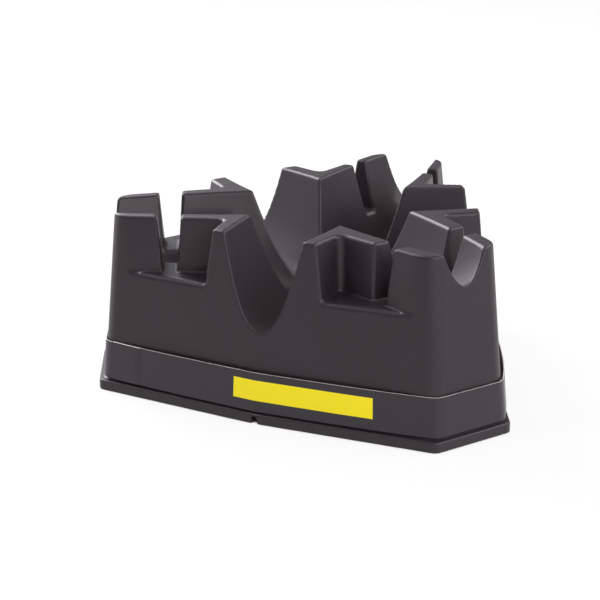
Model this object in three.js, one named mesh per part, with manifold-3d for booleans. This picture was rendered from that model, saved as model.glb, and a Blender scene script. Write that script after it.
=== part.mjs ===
// Bike trainer front riser block, in millimetres, +Z up.
//
// A hollow moulding stands open side down. Three wheel grooves cross over its middle, sixty
// degrees apart and each at a height of its own, so turning the block sets the wheel higher or
// lower. Six chevron walls stand between the grooves. A slot through each corner end parts a
// small post from its chevron, and a pocket is let into the long side behind each chevron.
// A band of printed card is wrapped round the foot and lifts off upwards.

import * as THREE from 'three';
import { mergeVertices } from 'three/addons/utils/BufferGeometryUtils.js';
import Module from 'manifold-3d';

// Driving dimensions

// Plan of the block: reach from the middle of the block to its short and its long sides.
const footCornerReach = 230;
const footMiddleReach = 162.8;
const topCornerReach = 208.9;
const topMiddleReach = 143.1;
const cornerRound = 14;
const sideBend = THREE.MathUtils.degToRad(3.5);
const blockHeight = 175.5;

// Foot: a low plinth that stands out past the wall, with a cove where the two meet.
const plinthHeight = 10;
const plinthStandOut = 6.1;
const plinthEdge = 1.5;
const plinthCornerRound = 6;
const coveSize = 3;
const ventWidth = 5;
const ventHeight = 7;
const ventDepth = 6;

// Wheel grooves: a parabola turned about the axle of the wheel that the groove holds.
const wheelRadius = 354;
const grooveRoot = 9.6;
const lowFloor = 52.5;
const floorStep = 11.5;

// Pockets and slots, cut down to one shared floor. A pocket's two walls meet in a rounded point
// and turn a little from floor to top; each angle is taken from the pocket's own direction.
const pocketFloor = 122.5;
const pocketRound = 7;
const pocketTopReach = 118.5;
const pocketTopMiddleSide = THREE.MathUtils.degToRad(39.5);
const pocketTopCornerSide = THREE.MathUtils.degToRad(40.5);
const pocketFloorReach = 122.8;
const pocketFloorMiddleSide = THREE.MathUtils.degToRad(31);
const pocketFloorCornerSide = THREE.MathUtils.degToRad(38);
const slotReach = 156.5;
const slotTopWidth = 22.5;
const slotFloorWidth = 14.5;

// Moulded wall and the ribs under the grooves.
const wall = 4;
const ribThickness = 3;

// Card band round the foot. It leans with the wall, hangs loose and a little to the right, and
// bows off each long side, the right one most of all.
const cardThickness = 0.8;
const bandHeight = 37;
const bandClearance = 1.4;
const bandShift = 0.9;
const bandBow = 3.8;
const rightBandBow = 8;
const seatGap = 0.3;
const lapLength = 35;

const overrun = 3;

// Points closer than this are one, and facets that lie this near to one plane are merged.
const weldDistance = 1e-5;
const facetTolerance = 0.002;

// Steps of the faceted curves.
const roundSteps = 4;
const grooveSteps = 18;
const wheelSteps = 96;
const pocketSteps = 5;
const twistSteps = 6;
const bowSteps = 6;

const thirdTurn = (2 * Math.PI) / 3;
const sixthTurn = Math.PI / 3;
const lowDirection = -Math.PI / 2;

const wasm = await Module();
wasm.setup();

// Solids from closed meshes, and meshes from solids.

function toSolid(geometry) {
  const bare = geometry.clone();
  bare.deleteAttribute('normal');
  bare.deleteAttribute('uv');
  const merged = mergeVertices(bare, weldDistance);
  return new wasm.Manifold(new wasm.Mesh({
    numProp: 3,
    vertProperties: Float32Array.from(merged.attributes.position.array),
    triVerts: Uint32Array.from(merged.index.array),
  }));
}

function toGeometry(solid) {
  const mesh = solid.getMesh();
  const geometry = new THREE.BufferGeometry();
  geometry.setAttribute('position', new THREE.BufferAttribute(Float32Array.from(mesh.vertProperties), 3));
  geometry.setIndex(new THREE.BufferAttribute(Uint32Array.from(mesh.triVerts), 1));
  geometry.computeVertexNormals();
  return geometry;
}

// An arc of a given radius that rounds the corner at b between a and c.
function roundedCorner(a, b, c, radius, steps) {
  const toA = a.clone().sub(b).normalize();
  const toC = c.clone().sub(b).normalize();
  const halfAngle = Math.acos(toA.dot(toC)) / 2;
  const centre = toA.clone().add(toC).normalize().multiplyScalar(radius / Math.sin(halfAngle)).add(b);
  const start = toA.multiplyScalar(radius / Math.tan(halfAngle)).add(b).sub(centre);
  const end = toC.multiplyScalar(radius / Math.tan(halfAngle)).add(b).sub(centre);
  const turn = Math.atan2(start.cross(end), start.dot(end));
  const points = [];
  for (let i = 0; i <= steps; i += 1) {
    points.push(start.clone().rotateAround(new THREE.Vector2(), (turn * i) / steps).add(centre));
  }
  return points;
}

// Plan outline, anticlockwise: three long sides, bent outwards at their middles, and three short
// sides, with a round at each end of a short side.
function planOutline(cornerReach, middleReach, round = cornerRound) {
  const bend = Math.tan(sideBend);
  const cornerX = (cornerReach - middleReach / 2) / (Math.cos(Math.PI / 6) - bend / 2);
  const corner = new THREE.Vector2(cornerX, cornerX * bend - middleReach);
  const middle = new THREE.Vector2(0, -middleReach);
  const nextMiddle = middle.clone().rotateAround(new THREE.Vector2(), thirdTurn);
  const farCorner = new THREE.Vector2(-corner.x, corner.y).rotateAround(new THREE.Vector2(), thirdTurn);
  const third = [
    middle,
    ...roundedCorner(middle, corner, farCorner, round, roundSteps),
    ...roundedCorner(corner, farCorner, nextMiddle, round, roundSteps),
  ];
  return [0, 1, 2].flatMap((k) => (
    third.map((p) => p.clone().rotateAround(new THREE.Vector2(), k * thirdTurn))
  ));
}

// A closed solid through outlines of equal count, each at its height, capped from the middle.
function loft(rings) {
  const count = rings[0].outline.length;
  const positions = rings.flatMap(({ z, outline }) => outline.flatMap((p) => [p.x, p.y, z]));
  const middleOf = (outline) => outline.reduce((sum, p) => sum.add(p), new THREE.Vector2())
    .divideScalar(count);
  const first = rings[0];
  const last = rings[rings.length - 1];
  const lowMiddle = positions.length / 3;
  const highMiddle = lowMiddle + 1;
  positions.push(...middleOf(first.outline).toArray(), first.z);
  positions.push(...middleOf(last.outline).toArray(), last.z);
  const index = [];
  const top = (rings.length - 1) * count;
  for (let i = 0; i < count; i += 1) {
    const next = (i + 1) % count;
    for (let ring = 0; ring < rings.length - 1; ring += 1) {
      const low = ring * count;
      const high = low + count;
      index.push(low + i, low + next, high + next, low + i, high + next, high + i);
    }
    index.push(lowMiddle, next, i, highMiddle, top + i, top + next);
  }
  const geometry = new THREE.BufferGeometry();
  geometry.setAttribute('position', new THREE.Float32BufferAttribute(positions, 3));
  geometry.setIndex(index);
  return geometry;
}

// Reach of the outer wall at a height: the wall leans in evenly from the plinth to the top.
const wallFoot = plinthHeight + coveSize;
function wallReach(z) {
  const rise = (z - wallFoot) / (blockHeight - wallFoot);
  return {
    corner: THREE.MathUtils.lerp(footCornerReach - plinthStandOut, topCornerReach, rise),
    middle: THREE.MathUtils.lerp(footMiddleReach - plinthStandOut, topMiddleReach, rise),
  };
}

function wallOutline(z, inset) {
  const reach = wallReach(z);
  return planOutline(reach.corner - inset, reach.middle - inset, cornerRound - inset);
}

// Outside of the moulding before anything is cut: plinth, cove and leaning wall.
function outerBlock() {
  const footOutline = (inset) => (
    planOutline(footCornerReach - inset, footMiddleReach - inset, plinthCornerRound - inset)
  );
  return toSolid(loft([
    { z: 0, outline: footOutline(0) },
    { z: plinthHeight - plinthEdge, outline: footOutline(0) },
    { z: plinthHeight, outline: footOutline(plinthEdge) },
    { z: plinthHeight, outline: footOutline(plinthStandOut - coveSize) },
    { z: wallFoot, outline: wallOutline(wallFoot, 0) },
    { z: blockHeight, outline: wallOutline(blockHeight, 0) },
  ]));
}

// Inside of the moulding, a wall's thickness within the outside and open at the floor.
function innerBlock() {
  return toSolid(loft([
    { z: -overrun, outline: wallOutline(-overrun, wall) },
    { z: blockHeight - wall, outline: wallOutline(blockHeight - wall, wall) },
  ]));
}

// The room of one wheel, turned about its axle: a parabola at the tread, grown by a margin.
function wheelRoom(direction, floor, margin) {
  const halfReach = Math.sqrt(2 * grooveRoot * (blockHeight - lowFloor + overrun));
  const profile = [];
  for (let i = 0; i <= grooveSteps; i += 1) {
    const across = THREE.MathUtils.lerp(-halfReach, halfReach, i / grooveSteps);
    const slope = across / grooveRoot;
    const normal = margin / Math.hypot(1, slope);
    profile.push(new THREE.Vector2(
      wheelRadius - (across * across) / (2 * grooveRoot) + normal,
      across + normal * slope,
    ));
  }
  profile.unshift(new THREE.Vector2(0, profile[0].y));
  profile.push(new THREE.Vector2(0, profile[profile.length - 1].y));
  const geometry = new THREE.LatheGeometry(profile, wheelSteps);
  geometry.rotateZ(direction);
  geometry.translate(0, 0, floor + wheelRadius);
  return toSolid(geometry);
}

// One pocket beside the long-side end of a groove: anticlockwise of it (hand 1) or clockwise
// (hand -1). Its far wall stands beside the corner end of the next groove.
function pocketRoom(grooveDirection, hand, margin) {
  const wedge = (z) => {
    const rise = (z - pocketFloor) / (blockHeight - pocketFloor);
    const reach = THREE.MathUtils.lerp(pocketFloorReach, pocketTopReach, rise);
    const middleSide = THREE.MathUtils.lerp(pocketFloorMiddleSide, pocketTopMiddleSide, rise);
    const cornerSide = THREE.MathUtils.lerp(pocketFloorCornerSide, pocketTopCornerSide, rise);
    const lowAngle = hand > 0 ? -middleSide : -cornerSide;
    const highAngle = hand > 0 ? cornerSide : middleSide;
    const lowWall = new THREE.Vector2(Math.cos(lowAngle), Math.sin(lowAngle));
    const highWall = new THREE.Vector2(Math.cos(highAngle), Math.sin(highAngle));
    const lowNormal = new THREE.Vector2(lowWall.y, -lowWall.x);
    const highNormal = new THREE.Vector2(-highWall.y, highWall.x);
    const spread = margin / (1 + lowNormal.dot(highNormal));
    const tip = new THREE.Vector2(reach, 0)
      .addScaledVector(lowNormal, spread)
      .addScaledVector(highNormal, spread);
    const along = (wallDirection, run) => tip.clone().addScaledVector(wallDirection, run);
    const low = along(lowWall, footMiddleReach / 2);
    const high = along(highWall, footMiddleReach / 2);
    return [
      along(lowWall, footMiddleReach),
      along(highWall, footMiddleReach),
      high,
      ...roundedCorner(high, tip, low, pocketRound, pocketSteps),
      low,
    ].map((p) => p.rotateAround(new THREE.Vector2(), grooveDirection + (hand * sixthTurn) / 2));
  };
  const rings = [];
  for (let i = 0; i <= twistSteps; i += 1) {
    const z = THREE.MathUtils.lerp(pocketFloor - margin, blockHeight + overrun, i / twistSteps);
    rings.push({ z, outline: wedge(z) });
  }
  return toSolid(loft(rings));
}

// One slot across a corner end of a groove, wider at the top.
function slotRoom(direction, margin) {
  const slope = (slotTopWidth - slotFloorWidth) / 2 / (blockHeight - pocketFloor);
  const halfWidth = (z) => slotFloorWidth / 2 + (z - pocketFloor) * slope + margin;
  const floor = pocketFloor - margin;
  const top = blockHeight + overrun;
  const section = new THREE.Shape([
    new THREE.Vector2(-halfWidth(floor), floor),
    new THREE.Vector2(halfWidth(floor), floor),
    new THREE.Vector2(halfWidth(top), top),
    new THREE.Vector2(-halfWidth(top), top),
  ]);
  const length = 2 * pocketTopReach * Math.sin(sixthTurn);
  const geometry = new THREE.ExtrudeGeometry(section, { depth: length, bevelEnabled: false });
  geometry.rotateX(Math.PI / 2);
  geometry.translate(-slotReach, length / 2, 0);
  geometry.rotateZ(direction);
  return toSolid(geometry);
}

// A small notch in the foot of the plinth at the middle of a long side.
function ventRoom(direction) {
  const geometry = new THREE.BoxGeometry(ventDepth + overrun, ventWidth, ventHeight + overrun);
  geometry.translate(
    footMiddleReach + (overrun - ventDepth) / 2,
    0,
    (ventHeight - overrun) / 2,
  );
  geometry.rotateZ(direction);
  return toSolid(geometry);
}

// A rib that stands on the floor under a groove, from wall to wall.
function ribPlate(direction) {
  const geometry = new THREE.BoxGeometry(2 * footCornerReach, ribThickness, blockHeight);
  geometry.translate(0, 0, blockHeight / 2);
  geometry.rotateZ(direction);
  return toSolid(geometry);
}

// The three grooves: direction of the end that opens on a long side, and height of the floor.
const grooves = [
  { direction: lowDirection, floor: lowFloor },
  { direction: lowDirection + thirdTurn, floor: lowFloor + floorStep },
  { direction: lowDirection + 2 * thirdTurn, floor: lowFloor + 2 * floorStep },
];

// All that is cut from the top, grown by a margin: none for the outside, the wall for the inside.
function topRooms(margin) {
  const rooms = grooves.flatMap(({ direction, floor }) => [
    wheelRoom(direction, floor, margin),
    slotRoom(direction, margin),
    pocketRoom(direction, 1, margin),
    pocketRoom(direction, -1, margin),
  ]);
  return rooms.reduce((sum, room) => sum.add(room));
}

function mouldedBlock() {
  const vents = grooves.map(({ direction }) => ventRoom(direction)).reduce((sum, vent) => sum.add(vent));
  const ribs = grooves.map(({ direction }) => ribPlate(direction)).reduce((sum, rib) => sum.add(rib));
  const cavity = innerBlock().subtract(topRooms(wall)).subtract(ribs);
  const block = outerBlock().subtract(topRooms(0)).subtract(vents).subtract(cavity);
  return toGeometry(block.asOriginal().simplify(facetTolerance));
}

// Card band: one strip round the foot, its end lapped over its start beside the left corner.
const bandLeftGap = bandClearance - bandShift * Math.cos(sixthTurn / 2);
const bandSeat = wallFoot - bandLeftGap + seatGap;

// Plan outline of the band at a height above its own lower edge, bowed along the long sides.
function bandOutline(z, offset) {
  const reach = wallReach(wallFoot + z);
  const outline = planOutline(reach.corner + offset, reach.middle + offset, cornerRound + offset);
  const third = outline.length / 3;
  return outline.flatMap((point, i) => {
    if (i % third !== 0) return [point];
    const before = outline[(i + outline.length - 1) % outline.length];
    const after = outline[i + 1];
    const out = point.clone().normalize();
    const bowed = [];
    for (let k = 1 - bowSteps; k < bowSteps; k += 1) {
      const share = Math.abs(k) / bowSteps;
      const end = k < 0 ? before : after;
      const bow = (i === third ? rightBandBow : bandBow) * (1 - share ** 4);
      bowed.push(point.clone().lerp(end, share).addScaledVector(out, bow));
    }
    return bowed;
  });
}

function bandSolid(offset, low, high) {
  return toSolid(loft([
    { z: low, outline: bandOutline(low, offset) },
    { z: high, outline: bandOutline(high, offset) },
  ]));
}

function cardBand() {
  const outer = bandClearance + cardThickness;
  const opening = bandSolid(bandClearance, -overrun, bandHeight + overrun);
  const outline = bandOutline(0, outer);
  const start = outline[outline.length - 1];
  const lapZone = new THREE.BoxGeometry(lapLength, footMiddleReach, 2 * bandHeight);
  lapZone.translate(start.x + lapLength / 2, start.y, bandHeight / 2);
  const lap = bandSolid(outer + cardThickness, 0, bandHeight).intersect(toSolid(lapZone));
  return toGeometry(bandSolid(outer, 0, bandHeight).add(lap).subtract(opening));
}

const blockPlastic = new THREE.MeshStandardMaterial({ color: 0x4a4649, roughness: 0.55, metalness: 0 });
const printedCard = new THREE.MeshStandardMaterial({ color: 0x49464a, roughness: 0.42, metalness: 0 });

const moulding = new THREE.Mesh(mouldedBlock(), blockPlastic);
moulding.name = 'moulded_block';

const band = new THREE.Mesh(cardBand(), printedCard);
band.name = 'card_band';
band.position.set(bandShift, 0, bandSeat);

// The origin lies under the middle of the footprint, which runs from the middle of the near
// long side to the far short side.
const riserBlock = new THREE.Group();
riserBlock.add(moulding, band);
riserBlock.position.y = (footMiddleReach - footCornerReach) / 2;

export default riserBlock;
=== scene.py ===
"""Studio scene of a bike trainer front riser block.

The block is one hollow plastic moulding with three crossing wheel grooves, and a band of printed
card hangs loose round its foot. Lengths are in metres. The block is worked out round the point
where its grooves cross, and then set in the part's own frame.
"""

import math

import bpy
import numpy as np
from mathutils import Matrix, Vector


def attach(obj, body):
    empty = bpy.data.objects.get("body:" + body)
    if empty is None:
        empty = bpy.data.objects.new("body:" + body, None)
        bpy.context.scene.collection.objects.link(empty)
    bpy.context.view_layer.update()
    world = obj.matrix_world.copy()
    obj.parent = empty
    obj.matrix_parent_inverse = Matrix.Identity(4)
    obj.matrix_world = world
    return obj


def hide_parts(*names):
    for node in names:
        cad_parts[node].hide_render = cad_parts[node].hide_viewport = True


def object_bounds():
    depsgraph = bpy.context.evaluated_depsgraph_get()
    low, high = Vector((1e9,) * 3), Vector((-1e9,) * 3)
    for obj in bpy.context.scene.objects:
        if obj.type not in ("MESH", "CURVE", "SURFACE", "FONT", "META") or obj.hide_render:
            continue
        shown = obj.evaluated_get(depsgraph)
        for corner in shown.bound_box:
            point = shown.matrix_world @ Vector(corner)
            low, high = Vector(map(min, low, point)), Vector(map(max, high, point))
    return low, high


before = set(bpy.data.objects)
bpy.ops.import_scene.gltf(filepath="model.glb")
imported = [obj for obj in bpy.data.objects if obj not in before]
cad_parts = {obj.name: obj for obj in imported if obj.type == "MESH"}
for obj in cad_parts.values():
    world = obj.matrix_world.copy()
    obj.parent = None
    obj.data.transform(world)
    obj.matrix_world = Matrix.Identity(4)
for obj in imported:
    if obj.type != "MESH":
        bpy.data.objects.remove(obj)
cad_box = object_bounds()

MM = 0.001
TINY = 1e-6
THIRD = 2 * math.pi / 3
TWELFTH = math.pi / 6

# Plan and height of the block
BLOCK_HEIGHT = 175.5 * MM
FOOT_CORNER_REACH = 230 * MM
FOOT_MIDDLE_REACH = 162.8 * MM
TOP_CORNER_REACH = 208.9 * MM
TOP_MIDDLE_REACH = 143.1 * MM
CORNER_ROUND = 14 * MM
SIDE_BEND = math.radians(3.5)
PLINTH_HEIGHT = 10 * MM
PLINTH_STAND_OUT = 6.1 * MM
COVE = 3 * MM
WALL_FOOT = PLINTH_HEIGHT + COVE
VENT_WIDTH = 5 * MM
VENT_HEIGHT = 7 * MM
VENT_DEPTH = 6 * MM
CROSSING_Y = (FOOT_MIDDLE_REACH - FOOT_CORNER_REACH) / 2

# Wheel grooves, each with its direction and the height of its floor
WHEEL_RADIUS = 354 * MM
GROOVE_ROOT = 9.6 * MM
LOW_FLOOR = 52.5 * MM
FLOOR_STEP = 11.5 * MM
LOW_DIRECTION = -math.pi / 2
GROOVES = [(LOW_DIRECTION + k * THIRD, LOW_FLOOR + k * FLOOR_STEP) for k in range(3)]

# Pockets and slots
POCKET_FLOOR = 122.5 * MM
POCKET_TOP_REACH = 118.5 * MM
POCKET_FLOOR_REACH = 122.8 * MM
POCKET_TOP_MIDDLE_SIDE = math.radians(39.5)
POCKET_TOP_CORNER_SIDE = math.radians(40.5)
POCKET_FLOOR_MIDDLE_SIDE = math.radians(31)
POCKET_FLOOR_CORNER_SIDE = math.radians(38)
SLOT_REACH = 156.5 * MM
SLOT_TOP_WIDTH = 22.5 * MM
SLOT_FLOOR_WIDTH = 14.5 * MM
SLOT_SPAN = 2 * POCKET_TOP_REACH * math.sin(math.pi / 3)

# Wall and ribs, and how far each edge of the moulding is blended round
WALL = 4 * MM
RIB = 3 * MM
BEND_BLEND = 6 * MM
CORNER_BLEND = 7.2 * MM
TOP_BLEND = 2.3 * MM
GROOVE_BLEND = 2.4 * MM
POCKET_BLEND = 2.8 * MM
POCKET_LIP_BLEND = 5 * MM
POCKET_LIP_RISE = 12 * MM
POCKET_TIP_BLEND = 8.5 * MM
POCKET_FOOT_BLEND = 2.5 * MM
PLINTH_BLEND = 1.6 * MM
PLINTH_CORNER_BLEND = 3.4 * MM
RIB_BLEND = 1.2 * MM
RIM_BLEND = 0.8 * MM

# Fineness of the block's mesh
CELL = 2.1 * MM
FOOT_CELL = 1 * MM
SLOPE_STEP = 0.1 * MM
LEAST_SLOPE = 0.5
KEPT_SHARE = 0.31

# Card band
CARD = 0.8 * MM
GLUE = 0.05 * MM
BAND_HEIGHT = 37 * MM
BAND_CLEARANCE = 1.4 * MM
BAND_SHIFT = 0.9 * MM
BAND_BOW = 3.8 * MM
RIGHT_BAND_BOW = 8 * MM
SEAT_GAP = 0.3 * MM
BAND_SEAT = WALL_FOOT - BAND_CLEARANCE + BAND_SHIFT * math.cos(TWELFTH) + SEAT_GAP
LAP_LENGTH = 35 * MM
LAP_RAMP = 30 * MM
LAP_EDGE = 0.1 * MM
PANEL_LEFT = -23.3 * MM
PANEL_RIGHT = 116.7 * MM
PANEL_LOW = 23 * MM
PANEL_HIGH = 42.5 * MM
SIDE_POINTS = 61
ARC_STEPS = 10
CARD_LEVELS = 5
CARD_CREASE = math.radians(30)

# Widths and depths of the finishes' patterns. Real grain and fibres are too fine to show here, so
# theirs are drawn coarser.
GRAIN_WIDTH = 2 / 3 * MM
GRAIN_DEPTH = 0.06 * MM
PATCH_WIDTH = 71.4 * MM
INK_FIBRE_WIDTH = 1.111 * MM
INK_FIBRE_DEPTH = 0.02 * MM
WAVE_WIDTH = 45.45 * MM
WAVE_DEPTH = 2 * MM
PULP_FIBRE_WIDTH = 1.429 * MM
PULP_FIBRE_DEPTH = 0.03 * MM

# Studio
FLOOR_REACH = 8
FLOOR_GLOW = 1.08
SURROUNDINGS = 0.27
LIGHT_DISTANCE = 3
LIGHT_SIZE = 1.8
SMALL_LIGHT_SIZE = 0.45
WARM = (1, 0.965, 0.99)
COOL = (0.95, 0.95, 1)

# Soft boxes: name, azimuth and elevation in degrees, power in watts, tint and size
SOFT_BOXES = [
    ("left_soft_box", -103, 29, 112, COOL, LIGHT_SIZE),
    ("rear_left_soft_box", -125, 38, 36, COOL, LIGHT_SIZE),
    ("front_soft_box", -45, 54, 20, WARM, SMALL_LIGHT_SIZE),
    ("front_right_soft_box", 54, 25, 41, WARM, LIGHT_SIZE),
    ("right_soft_box", 103, 33, 44, WARM, LIGHT_SIZE),
    ("rear_right_soft_box", 150, 35, 28, WARM, LIGHT_SIZE),
    ("overhead_soft_box", 0, 88, 6, WARM, LIGHT_SIZE),
]

# Camera: angles in degrees, and the lens and its sensor in millimetres, as Blender takes them
CAMERA_TARGET = Vector((-29.9, -39.4, 69.4)) * MM
CAMERA_DISTANCE = 1543.28 * MM
CAMERA_AZIMUTH = 26.513
CAMERA_ELEVATION = 18.694
CAMERA_ROLL = -0.269
CAMERA_LENS = 91.61
CAMERA_SENSOR = 36
CAMERA_SIGHT = 50


# The block's body, as a field of signed distance


def blended_max(a, b, r):
    """Larger of two fields with its edge rounded: where both are above -r it is
    sqrt((a + r)^2 + (b + r)^2) - r."""
    u = np.maximum(a + r, 0)
    v = np.maximum(b + r, 0)
    return np.minimum(np.maximum(a, b), -r) + np.sqrt(u * u + v * v)


def along_and_across(x, y, direction):
    """Distance towards the long-side end of a groove, and to the left of it."""
    c, s = math.cos(direction), math.sin(direction)
    return x * c + y * s, y * c - x * s


def plan_field(x, y, corner_reach, middle_reach, corner_blend):
    """Distance outside the plan: three long sides, each s + |t| * tan(bend) - reach with its
    middle blended, and three short sides, -s - reach."""
    long_sides, short_sides = [], []
    for direction, _ in GROOVES:
        s, t = along_and_across(x, y, direction)
        bent = (np.sqrt(t * t + BEND_BLEND ** 2) - BEND_BLEND) * math.tan(SIDE_BEND)
        long_sides.append(s + bent - middle_reach)
        short_sides.append(-s - corner_reach)
    long_side = np.maximum(np.maximum(*long_sides[:2]), long_sides[2])
    short_side = np.maximum(np.maximum(*short_sides[:2]), short_sides[2])
    return blended_max(long_side, short_side, corner_blend)


def wall_reach(z):
    """Reach of the wall to the short and the long sides, which leans in evenly with height:
    foot + (top - foot) * rise."""
    rise = (z - WALL_FOOT) / (BLOCK_HEIGHT - WALL_FOOT)
    foot_corner = FOOT_CORNER_REACH - PLINTH_STAND_OUT
    foot_middle = FOOT_MIDDLE_REACH - PLINTH_STAND_OUT
    return (foot_corner + (TOP_CORNER_REACH - foot_corner) * rise,
            foot_middle + (TOP_MIDDLE_REACH - foot_middle) * rise)


def groove_field(x, y, z, direction, floor):
    """Distance outside the room of a wheel: from its axle, less its radius, plus
    t^2 / (2 * root) across the tread, over the slope of that parabola."""
    s, t = along_and_across(x, y, direction)
    from_axle = np.sqrt(s * s + (z - floor - WHEEL_RADIUS) ** 2)
    above_tread = from_axle - WHEEL_RADIUS + t * t / (2 * GROOVE_ROOT)
    return above_tread / np.sqrt(1 + (t / GROOVE_ROOT) ** 2)


def pocket_walls(x, y, z, direction, hand):
    """Distance outside the walls of a pocket: two that meet in a rounded point and turn a little
    from floor to top, -out * sin(angle) -+ side * cos(angle)."""
    out, side = along_and_across(x, y, direction + hand * TWELFTH)
    rise = (z - POCKET_FLOOR) / (BLOCK_HEIGHT - POCKET_FLOOR)
    out = out - (POCKET_FLOOR_REACH + (POCKET_TOP_REACH - POCKET_FLOOR_REACH) * rise)
    middle = POCKET_FLOOR_MIDDLE_SIDE + (POCKET_TOP_MIDDLE_SIDE - POCKET_FLOOR_MIDDLE_SIDE) * rise
    corner = POCKET_FLOOR_CORNER_SIDE + (POCKET_TOP_CORNER_SIDE - POCKET_FLOOR_CORNER_SIDE) * rise
    middle_wall = -out * np.sin(middle) - hand * side * np.cos(middle)
    corner_wall = -out * np.sin(corner) + hand * side * np.cos(corner)
    return blended_max(middle_wall, corner_wall, POCKET_TIP_BLEND)


def slot_walls(x, y, z, direction):
    """Distance outside the walls of the slot across a corner end, |s + reach| - width / 2, with
    the width growing evenly with height, and outside its span, |t| - span / 2."""
    s, t = along_and_across(x, y, direction)
    widening = (SLOT_TOP_WIDTH - SLOT_FLOOR_WIDTH) / 2 / (BLOCK_HEIGHT - POCKET_FLOOR)
    across = np.abs(s + SLOT_REACH) - SLOT_FLOOR_WIDTH / 2 - (z - POCKET_FLOOR) * widening
    return np.maximum(across, np.abs(t) - SLOT_SPAN / 2)


def hand_room_field(x, y, z):
    """Distance outside the pockets and slots, which open into each other over one floor."""
    parting = slot_walls(x, y, z, LOW_DIRECTION)
    for direction, _ in GROOVES[1:]:
        parting = np.minimum(parting, slot_walls(x, y, z, direction))
    for direction, _ in GROOVES:
        for hand in (1, -1):
            parting = -blended_max(-parting, -pocket_walls(x, y, z, direction, hand), GROOVE_BLEND)
    return blended_max(parting, POCKET_FLOOR - z, POCKET_FOOT_BLEND)


def block_field(x, y, z):
    """Distance outside the plastic: the leaning wall and the top less all rooms, joined to the
    plinth by a cove, less the hollow that follows the outside a wall's thickness in and leaves
    three ribs under the grooves. The rooms' edges are rounder near the pocket floor."""
    skin = blended_max(plan_field(x, y, *wall_reach(z), CORNER_BLEND), z - BLOCK_HEIGHT, TOP_BLEND)
    for direction, floor in GROOVES:
        skin = blended_max(skin, -groove_field(x, y, z, direction, floor), GROOVE_BLEND)
    lip = np.clip(1 - (z - POCKET_FLOOR) / POCKET_LIP_RISE, 0, 1)
    edge = POCKET_BLEND + (POCKET_LIP_BLEND - POCKET_BLEND) * lip
    skin = blended_max(skin, -hand_room_field(x, y, z), edge)
    plinth = plan_field(x, y, FOOT_CORNER_REACH, FOOT_MIDDLE_REACH, PLINTH_CORNER_BLEND)
    plinth = blended_max(plinth, z - PLINTH_HEIGHT, PLINTH_BLEND)
    solid = -blended_max(-skin, -plinth, COVE)
    hollow = skin + WALL
    for direction, _ in GROOVES:
        s, t = along_and_across(x, y, direction)
        hollow = blended_max(hollow, RIB / 2 - np.abs(t), RIB_BLEND)
        vent = np.maximum(np.abs(t) - VENT_WIDTH / 2, FOOT_MIDDLE_REACH - VENT_DEPTH - s)
        solid = np.maximum(solid, -np.maximum(vent, z - VENT_HEIGHT))
    return blended_max(blended_max(solid, -hollow, RIM_BLEND), -z, RIM_BLEND)


def field_slope(points):
    """Slope of the block's field at each point: along each axis, the difference of the field one
    small step ahead and one behind, over the two steps."""
    x, y, z = points.T
    return np.stack([
        block_field(x + SLOPE_STEP, y, z) - block_field(x - SLOPE_STEP, y, z),
        block_field(x, y + SLOPE_STEP, z) - block_field(x, y - SLOPE_STEP, z),
        block_field(x, y, z + SLOPE_STEP) - block_field(x, y, z - SLOPE_STEP),
    ], axis=1) / (2 * SLOPE_STEP)


def onto_surface(points, rounds):
    """Moves each point against the field's slope by field / slope^2, at most half a cell a time.
    A slope under the least one counts as that."""
    for _ in range(rounds):
        slope = field_slope(points)
        steep = np.maximum((slope ** 2).sum(axis=1), LEAST_SLOPE ** 2)
        step = (block_field(*points.T) / steep)[:, None] * slope
        length = np.linalg.norm(step, axis=1, keepdims=True)
        points = points - step * np.minimum(1, CELL / 2 / np.maximum(length, TINY))
    return points


def net_of_field(low, high):
    """Net over the block's field: a point in each cell that the surface passes, at the mean of
    the places where the surface cuts the cell's edges, and a quad round each cut edge. The cells
    are lower at the foot than above it."""
    foot = np.arange(low[2], WALL_FOOT, FOOT_CELL)
    axes = [np.arange(low[n], high[n] + CELL, CELL) for n in range(2)]
    axes.append(np.concatenate([foot, np.arange(foot[-1] + CELL, high[2] + CELL, CELL)]))
    values = block_field(axes[0][:, None, None], axes[1][None, :, None], axes[2][None, None, :])
    shape = values.shape
    cell_count = values.size
    total = np.zeros((3, cell_count))
    count = np.zeros(cell_count)
    quads = []
    for axis in range(3):
        start = values[tuple(slice(0, -1 if n == axis else None) for n in range(3))]
        end = values[tuple(slice(1 if n == axis else 0, None) for n in range(3))]
        cut = np.nonzero((start < 0) != (end < 0))
        share = start[cut] / (start[cut] - end[cut])
        place = [axes[n][cut[n]] for n in range(3)]
        place[axis] = place[axis] + share * np.diff(axes[axis])[cut[axis]]
        one, two = (axis + 1) % 3, (axis + 2) % 3
        cells = []
        for back_one, back_two in ((0, 0), (1, 0), (1, 1), (0, 1)):
            where = list(cut)
            where[one] = where[one] - back_one
            where[two] = where[two] - back_two
            ids = np.ravel_multi_index(where, shape)
            cells.append(ids)
            count += np.bincount(ids, minlength=cell_count)
            for n in range(3):
                total[n] += np.bincount(ids, place[n], cell_count)
        quad = np.stack(cells, axis=1)
        outward = start[cut] < 0
        quads.append(np.where(outward[:, None], quad, quad[:, ::-1]))
    used = np.flatnonzero(count)
    number = np.zeros(cell_count, int)
    number[used] = np.arange(len(used))
    return (total[:, used] / count[used]).T, number[np.concatenate(quads)]


def piece(name, points, faces, body, node):
    """A mesh object at the origin that rides on a body and stands for a node."""
    mesh = bpy.data.meshes.new(name)
    mesh.from_pydata(points, [], faces)
    obj = bpy.data.objects.new(name, mesh)
    bpy.context.scene.collection.objects.link(obj)
    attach(obj, body)
    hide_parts(node)
    return obj


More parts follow.
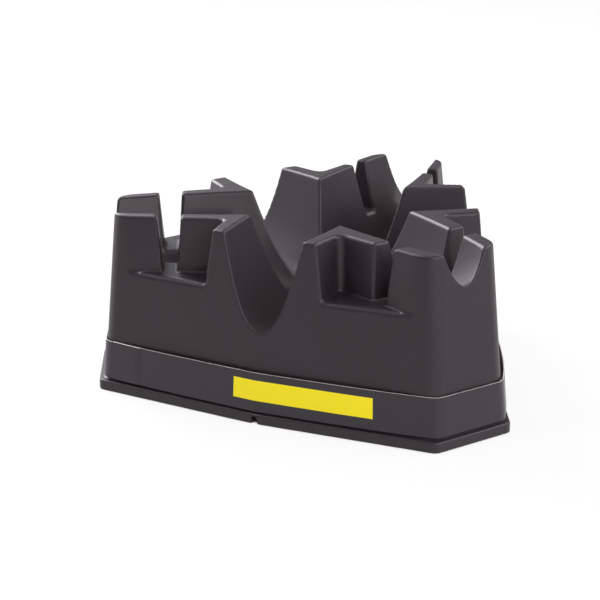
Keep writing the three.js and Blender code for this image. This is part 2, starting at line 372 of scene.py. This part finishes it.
def thin_out(obj, share):
    """Keeps this share of the mesh's triangles, fewest where it is flat."""
    thin = obj.modifiers.new("thin", "DECIMATE")
    thin.ratio = share
    seen = obj.evaluated_get(bpy.context.evaluated_depsgraph_get())
    mesh = bpy.data.meshes.new_from_object(seen)
    obj.modifiers.remove(thin)
    obj.data = mesh


def moulded_block():
    """The block: the net over its field, thinned where flat, laid on the surface again and shaded
    by the field's slope."""
    shift = np.array([0, CROSSING_Y, 0])
    low = np.array(cad_box[0]) - 2 * CELL - shift
    high = np.array(cad_box[1]) + 2 * CELL - shift
    points, faces = net_of_field(low, high)
    points = onto_surface(points, rounds=3)
    obj = piece("block_moulding", points, faces.tolist(), "block", "moulded_block")
    thin_out(obj, KEPT_SHARE)
    mesh = obj.data
    flat = np.empty(3 * len(mesh.vertices))
    mesh.vertices.foreach_get("co", flat)
    points = onto_surface(flat.reshape(-1, 3), rounds=2)
    slope = field_slope(points)
    slope /= np.maximum(np.linalg.norm(slope, axis=1, keepdims=True), TINY)
    mesh.vertices.foreach_set("co", (points + shift).ravel())
    mesh.polygons.foreach_set("use_smooth", np.ones(len(mesh.polygons), bool))
    mesh.update()
    mesh.normals_split_custom_set_from_vertices(slope)
    return obj


# The card band


def rounded(a, b, c, radius, steps):
    """Arc that rounds the corner at b between a and c, from the side of a to the side of c:
    centre + radius * (sin(turn) * across - cos(turn) * middle)."""
    to_a = (a - b) / np.linalg.norm(a - b)
    to_c = (c - b) / np.linalg.norm(c - b)
    half = math.acos(to_a @ to_c) / 2
    middle = (to_a + to_c) / np.linalg.norm(to_a + to_c)
    across = (to_c - to_a) / np.linalg.norm(to_c - to_a)
    centre = b + middle * radius / math.sin(half)
    turn = np.linspace(half - math.pi / 2, math.pi / 2 - half, steps + 1)[:, None]
    return centre + radius * (np.sin(turn) * across - np.cos(turn) * middle)


def band_line(height, offset):
    """Plan line of the band at a height above its lower edge, anticlockwise from the left end of
    the near side. A long side bows out by bow * (1 - share^4), share being how far from its
    middle to its end a point lies."""
    corner_reach, middle_reach = (reach + offset for reach in wall_reach(WALL_FOOT + height))
    bend = math.tan(SIDE_BEND)
    x = (corner_reach - middle_reach / 2) / (math.cos(TWELFTH) - bend / 2)
    spin = np.array([[math.cos(THIRD), math.sin(THIRD)], [-math.sin(THIRD), math.cos(THIRD)]])
    middle = np.array([0, -middle_reach])
    corner = np.array([x, x * bend - middle_reach])
    far_corner = np.array([-x, x * bend - middle_reach]) @ spin
    first = rounded(middle, corner, far_corner, CORNER_ROUND + offset, ARC_STEPS)
    second = rounded(corner, far_corner, middle @ spin, CORNER_ROUND + offset, ARC_STEPS)
    share = np.linspace(-1, 1, SIDE_POINTS)[:, None]
    ends = np.where(share < 0, second[-1] @ spin.T, first[0])
    line = []
    turn = np.eye(2)
    for bow in (BAND_BOW, RIGHT_BAND_BOW, BAND_BOW):
        side = middle + (ends - middle) * np.abs(share)
        side = side + np.array([0, -1]) * bow * (1 - share ** 4)
        line.append(np.concatenate([side, first[1:], second[:-1]]) @ turn)
        turn = turn @ spin
    return np.concatenate(line)


def lapped_rails(section):
    """Rails of the band, one for each point of its section, and how far along the laid-out strip
    their points lie, counted so that it is nearly x on the near side. Each rail goes once round
    the plan line and on over its start for the lap's length. Before it gets there it steps out
    by the card and its glue, by r^2 * (3 - 2 * r), r being the share of the ramp passed."""
    base = band_line(0, BAND_CLEARANCE + CARD)
    steps = np.linalg.norm(np.diff(base, axis=0, append=base[:1]), axis=1)
    run = np.concatenate([[0], np.cumsum(steps)])
    lap = np.flatnonzero(run < LAP_LENGTH)[-1] + 2
    way = np.concatenate([np.arange(len(base)), np.arange(lap)])
    along = np.concatenate([run[:-1], run[-1] + run[:lap]])
    last_share = (run[-1] + LAP_LENGTH - along[-2]) / (along[-1] - along[-2])
    along[-1] = run[-1] + LAP_LENGTH
    ramp = np.clip((along - run[-1] + LAP_RAMP) / LAP_RAMP, 0, 1)
    ramp = (ramp * ramp * (3 - 2 * ramp))[:, None]
    rails = []
    for height, outward in section:
        under = band_line(height, BAND_CLEARANCE + outward)[way]
        over = band_line(height, BAND_CLEARANCE + outward + CARD + GLUE)[way]
        rail = under + (over - under) * ramp
        rail[-1] = rail[-2] + (rail[-1] - rail[-2]) * last_share
        rails.append(np.column_stack([rail, np.full(len(rail), height)]))
    points = np.stack(rails, axis=1) + [BAND_SHIFT, CROSSING_Y, BAND_SEAT]
    return points, along + base[0, 0]


def strip_faces(count, around):
    """Quads of a strip of so many sections, each with so many points around: the walls between
    neighbouring sections, then the two ends."""
    ids = np.arange(count * around).reshape(count, around)
    beside = np.roll(ids, -1, axis=1)
    walls = np.stack([ids[:-1], ids[1:], beside[1:], beside[:-1]], axis=-1)
    ends = []
    for end in (ids[0], ids[-1]):
        front, back = end[:CARD_LEVELS], end[:CARD_LEVELS - 1:-1]
        ends.append(np.stack([front[:-1], front[1:], back[1:], back[:-1]], axis=-1))
    return np.concatenate([walls.reshape(-1, 4), ends[0], ends[1][:, ::-1]])


def card_band():
    """The band: one strip of card carried round its plan line, its section an upright rectangle,
    and its outer end pressed thin. The outside and the two ends are printed, and the back and the
    long edges are bare board."""
    levels = np.linspace(0, BAND_HEIGHT, CARD_LEVELS)
    section = [(h, CARD) for h in levels] + [(h, 0) for h in levels[::-1]]
    points, along = lapped_rails(section)
    count, around = points.shape[:2]
    back = points[-1, :CARD_LEVELS - 1:-1]
    points[-1, :CARD_LEVELS] = back + (points[-1, :CARD_LEVELS] - back) * LAP_EDGE / CARD
    faces = strip_faces(count, around)
    obj = piece("card_strip", points.reshape(-1, 3), faces.tolist(),
                "sleeve", "card_band")
    mesh = obj.data
    board = np.zeros(len(faces), int)
    board[:(count - 1) * around] = np.tile(np.arange(around) >= CARD_LEVELS - 1, count - 1)
    mesh.polygons.foreach_set("material_index", board)
    mesh.polygons.foreach_set("use_smooth", np.ones(len(faces), bool))
    mesh.set_sharp_from_angle(angle=CARD_CREASE)
    up = np.array([h for h, _ in section]) + BAND_SEAT
    laid = np.column_stack([np.repeat(along, around), np.tile(up, count)])[faces.ravel()]
    mesh.uv_layers.new(name="laid_out").data.foreach_set("uv", laid.ravel())
    mesh.update()
    return obj


# Finishes


def linear(shade):
    """Linear colour of an sRGB hex shade: a dark part p is p / 12.92, any other
    ((p + 0.055) / 1.055)^2.4."""
    parts = [int(shade[i:i + 2], 16) / 255 for i in (1, 3, 5)]
    return tuple(p / 12.92 if p < 0.04045 else ((p + 0.055) / 1.055) ** 2.4 for p in parts) + (1,)


def material(name):
    """A new material, its shader, a function that adds a node to it and one that fills inputs."""
    made = bpy.data.materials.new(name)
    made.use_nodes = True
    tree = made.node_tree

    def fill(node, **inputs):
        """Fills a node's inputs with values or other nodes' outputs. i6 means input number 6."""
        for key, value in inputs.items():
            key = int(key[1:]) if key[0] == "i" and key[1:].isdigit() else key.replace("_", " ")
            if isinstance(value, bpy.types.NodeSocket):
                tree.links.new(value, node.inputs[key])
            else:
                node.inputs[key].default_value = value
        return node

    def add(kind, settings=(), **inputs):
        """Adds a node: settings are its attributes, inputs are what fill takes."""
        node = tree.nodes.new("ShaderNode" + kind)
        for key, value in dict(settings).items():
            setattr(node, key, value)
        return fill(node, **inputs)

    return made, tree.nodes["Principled BSDF"], add, fill


def block_plastic():
    """Dark grey moulded plastic with a fine spark-eroded grain: the grain breaks up the sheen,
    broad soft patches are a little smoother where the moulding has been handled, and the skin's
    thin gloss draws a bright line along the rounded edges."""
    made, shader, add, fill = material("grained_moulded_plastic")
    where = add("TexCoord").outputs["Object"]
    grain = add("TexNoise", Vector=where, Scale=1 / GRAIN_WIDTH, Detail=3.0, Roughness=0.6)
    patches = add("TexNoise", Vector=where, Scale=1 / PATCH_WIDTH, Detail=4.0, Roughness=0.55)
    shade = add("Mix", {"data_type": "RGBA"}, i0=patches.outputs["Fac"],
                i6=linear("#272125"), i7=linear("#2c252a"))
    rough = add("MapRange", Value=patches.outputs["Fac"], To_Min=0.52, To_Max=0.45)
    bump = add("Bump", Height=grain.outputs["Fac"], Strength=0.35, Distance=GRAIN_DEPTH)
    fill(shader, Base_Color=shade.outputs[2], Roughness=rough.outputs["Result"],
         Normal=bump.outputs["Normal"], Specular_IOR_Level=0.31,
         Coat_Weight=0.2, Coat_Roughness=0.14)
    return made


def printed_face():
    """Face of the card: dark grey ink under satin varnish, with a flat yellow panel on the near
    side and the faint waviness of card that has been folded round the block."""
    made, shader, add, fill = material("satin_printed_card")
    laid = add("UVMap", {"uv_map": "laid_out"}).outputs["UV"]
    spread = add("SeparateXYZ", Vector=laid)
    wide = add("Math", {"operation": "COMPARE"}, i0=spread.outputs["X"],
               i1=(PANEL_LEFT + PANEL_RIGHT) / 2, i2=(PANEL_RIGHT - PANEL_LEFT) / 2)
    high = add("Math", {"operation": "COMPARE"}, i0=spread.outputs["Y"],
               i1=(PANEL_LOW + PANEL_HIGH) / 2, i2=(PANEL_HIGH - PANEL_LOW) / 2)
    panel = add("Math", {"operation": "MULTIPLY"}, i0=wide.outputs[0], i1=high.outputs[0])
    fibres = add("TexNoise", Vector=laid, Scale=1 / INK_FIBRE_WIDTH, Detail=3.0)
    ink = add("Mix", {"data_type": "RGBA"}, i0=fibres.outputs["Fac"],
              i6=linear("#2a252b"), i7=linear("#2f292f"))
    face = add("Mix", {"data_type": "RGBA"}, i0=panel.outputs[0],
               i6=ink.outputs[2], i7=linear("#ffec00"))
    waves = add("TexNoise", Vector=laid, Scale=1 / WAVE_WIDTH, Detail=1.0)
    soft = add("Bump", Height=waves.outputs["Fac"], Strength=0.12, Distance=WAVE_DEPTH)
    fine = add("Bump", Height=fibres.outputs["Fac"], Strength=0.15, Distance=INK_FIBRE_DEPTH,
               Normal=soft.outputs["Normal"])
    fill(shader, Base_Color=face.outputs[2], Roughness=0.34, Normal=fine.outputs["Normal"],
         Specular_IOR_Level=0.42)
    return made


def board_core():
    """White pulp board on the back and the long cut edges of the card, mottled by its fibres."""
    made, shader, add, fill = material("bare_white_board")
    where = add("TexCoord").outputs["Object"]
    fibres = add("TexNoise", Vector=where, Scale=1 / PULP_FIBRE_WIDTH, Detail=4.0)
    pulp = add("Mix", {"data_type": "RGBA"}, i0=fibres.outputs["Fac"],
               i6=linear("#d2cfca"), i7=linear("#e6e4e0"))
    bump = add("Bump", Height=fibres.outputs["Fac"], Strength=0.3, Distance=PULP_FIBRE_DEPTH)
    fill(shader, Base_Color=pulp.outputs[2], Roughness=0.85, Normal=bump.outputs["Normal"])
    return made


# Floor, light and camera


def floor_finish():
    """Matt floor that is white to the camera and in the block's sheen, and that keeps the block's
    soft shadow. In nooks a few millimetres wide, as in the vents, it shows its own shaded grey."""
    made, shader, add, fill = material("matt_studio_floor")
    fill(shader, Base_Color=(0.5, 0.5, 0.5, 1), Roughness=1)
    glow = add("Emission", Strength=FLOOR_GLOW)
    path = add("LightPath")
    seen = add("Math", {"operation": "MAXIMUM"}, i0=path.outputs["Is Camera Ray"],
               i1=path.outputs["Is Glossy Ray"])
    nook = add("AmbientOcclusion", {"samples": 8}, Distance=VENT_DEPTH)
    sky = add("MapRange", Value=nook.outputs["AO"], From_Min=0.3, From_Max=0.6, To_Max=0.8)
    share = add("Math", {"operation": "MULTIPLY"}, i0=seen.outputs[0], i1=sky.outputs["Result"])
    both = add("MixShader", i0=share.outputs[0], i1=shader.outputs["BSDF"], i2=glow.outputs[0])
    fill(made.node_tree.nodes["Material Output"], Surface=both.outputs[0])
    return made


def studio_floor():
    """One large square under the block."""
    signs = ((-1, -1), (1, -1), (1, 1), (-1, 1))
    corners = [(x * FLOOR_REACH, y * FLOOR_REACH, 0) for x, y in signs]
    mesh = bpy.data.meshes.new("studio_floor")
    mesh.from_pydata(corners, [], [(0, 1, 2, 3)])
    mesh.materials.append(floor_finish())
    floor = bpy.data.objects.new("studio_floor", mesh)
    bpy.context.scene.collection.objects.link(floor)


def outwards(azimuth, elevation):
    """Unit vector at an azimuth, from the near side towards the right, and an elevation:
    (cos(elevation) * sin(azimuth), -cos(elevation) * cos(azimuth), sin(elevation))."""
    azimuth, elevation = math.radians(azimuth), math.radians(elevation)
    flat = math.cos(elevation)
    return Vector((flat * math.sin(azimuth), -flat * math.cos(azimuth), math.sin(elevation)))


def soft_light(name, azimuth, elevation, power, tint, size):
    """A square soft box that faces the block."""
    light = bpy.data.lights.new(name, "AREA")
    light.size = size
    light.energy = power
    light.color = tint
    obj = bpy.data.objects.new(name, light)
    back = outwards(azimuth, elevation)
    obj.location = back * LIGHT_DISTANCE
    obj.rotation_euler = back.to_track_quat("Z", "Y").to_euler()
    bpy.context.scene.collection.objects.link(obj)


def studio_world():
    """Even white surroundings, full white to the camera."""
    world = bpy.data.worlds.new("studio")
    world.use_nodes = True
    tree = world.node_tree
    tree.nodes["Background"].inputs["Color"].default_value = (1, 1, 1, 1)
    path = tree.nodes.new("ShaderNodeLightPath")
    strength = tree.nodes.new("ShaderNodeMapRange")
    strength.inputs["To Min"].default_value = SURROUNDINGS
    strength.inputs["To Max"].default_value = 1.0
    tree.links.new(path.outputs["Is Camera Ray"], strength.inputs["Value"])
    tree.links.new(strength.outputs["Result"], tree.nodes["Background"].inputs["Strength"])
    bpy.context.scene.world = world


def photo_camera():
    """Camera that stands where the photograph was taken from."""
    roll = math.radians(CAMERA_ROLL)
    back = outwards(CAMERA_AZIMUTH, CAMERA_ELEVATION)
    level = outwards(CAMERA_AZIMUTH + 90, 0)
    up = back.cross(level)
    right = level * math.cos(roll) + up * math.sin(roll)
    up = up * math.cos(roll) - level * math.sin(roll)
    turn = Matrix((right, up, back)).transposed().to_4x4()
    lens = bpy.data.cameras.new("photo_camera")
    lens.lens = CAMERA_LENS
    lens.sensor_width = CAMERA_SENSOR
    lens.clip_end = CAMERA_SIGHT
    camera = bpy.data.objects.new("photo_camera", lens)
    camera.matrix_world = Matrix.Translation(CAMERA_TARGET + back * CAMERA_DISTANCE) @ turn
    bpy.context.scene.collection.objects.link(camera)
    bpy.context.scene.camera = camera


block = moulded_block()
block.data.materials.append(block_plastic())
band = card_band()
band.data.materials.append(printed_face())
band.data.materials.append(board_core())

studio_floor()
studio_world()
for soft_box in SOFT_BOXES:
    soft_light(*soft_box)
photo_camera()
bpy.context.scene.view_settings.view_transform = "Standard"
